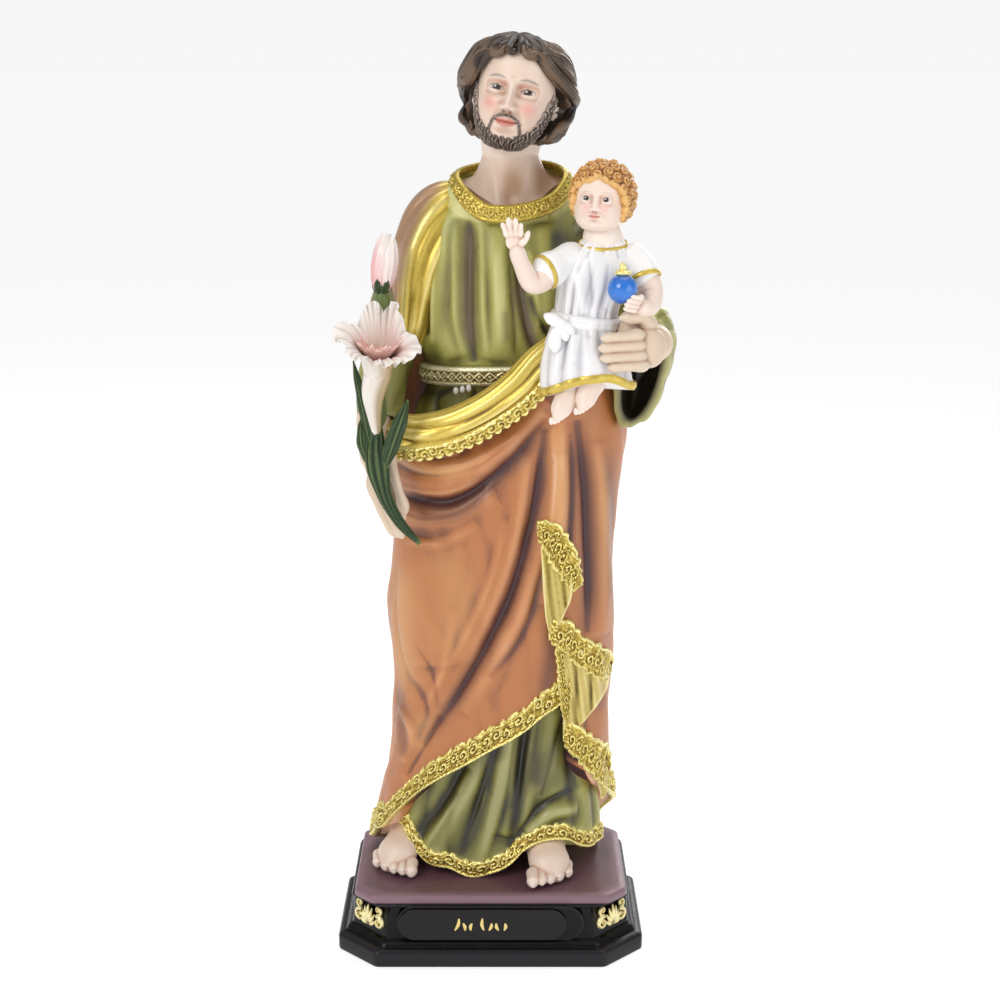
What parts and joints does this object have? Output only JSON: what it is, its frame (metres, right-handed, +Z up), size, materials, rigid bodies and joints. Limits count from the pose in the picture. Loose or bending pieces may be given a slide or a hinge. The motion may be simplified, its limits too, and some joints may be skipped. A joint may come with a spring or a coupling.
{
  "type": "devotional statuette",
  "caption": "Painted cast-resin statuette of a bearded man in tunic and mantle, a child on one arm and a lily in hand, on a low moulded plinth.",
  "frame": {"origin": "middle of the plinth's underside", "axes": "+Z up, the figure faces -Y, +X to the viewer's right"},
  "size_m": [0.113, 0.0789, 0.3052],
  "materials": {
    "figure": "hand-painted cast resin, satin",
    "lily": "hand-painted cast resin, satin",
    "plinth": "black lacquered cast resin, mauve top",
    "name_plate": "gloss black plate with gold print"
  },
  "bodies": {
    "root": {"figure": "figure", "lily": "lily", "plinth": "plinth", "name_plate": "name_plate"}
  },
  "joints": []
}
